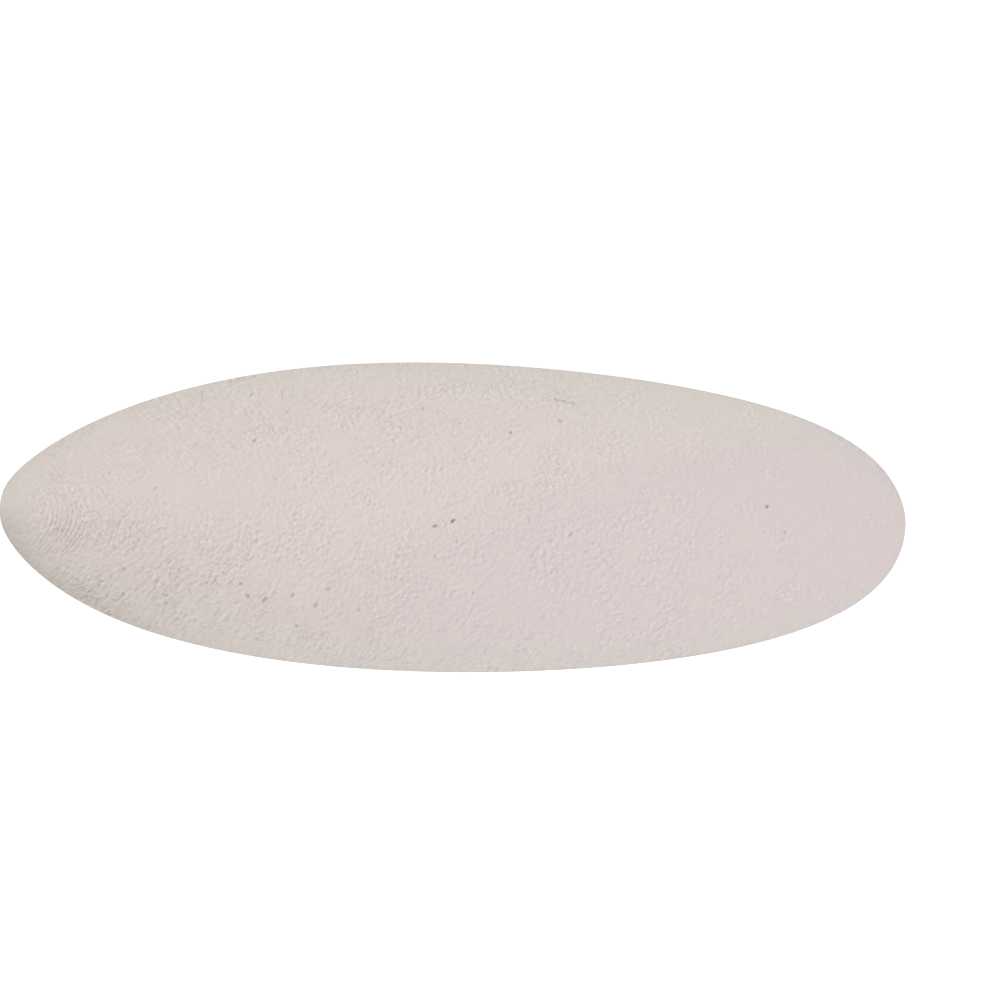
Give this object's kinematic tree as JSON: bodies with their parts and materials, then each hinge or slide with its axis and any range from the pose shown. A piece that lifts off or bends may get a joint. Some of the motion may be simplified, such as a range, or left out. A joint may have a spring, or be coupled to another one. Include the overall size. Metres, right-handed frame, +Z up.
{
  "type": "cuttlebone",
  "caption": "Cuttlebone, the long oval chalky inner shell of a cuttlefish, domed on its back, with a swollen belly and a thin rim.",
  "frame": {"origin": "centre of the bounding box in plan, at the height of the flat worn place on the belly, on which the cuttlebone rests", "axes": "+X along the length towards the broader, smoother anterior end, +Y towards the animal's left flank, +Z up through the domed back"},
  "size_m": [0.15, 0.051, 0.0189],
  "materials": {
    "cuttlebone": "matt, chalky, finely pitted"
  },
  "bodies": {
    "root": {"cuttlebone": "cuttlebone"}
  },
  "joints": []
}
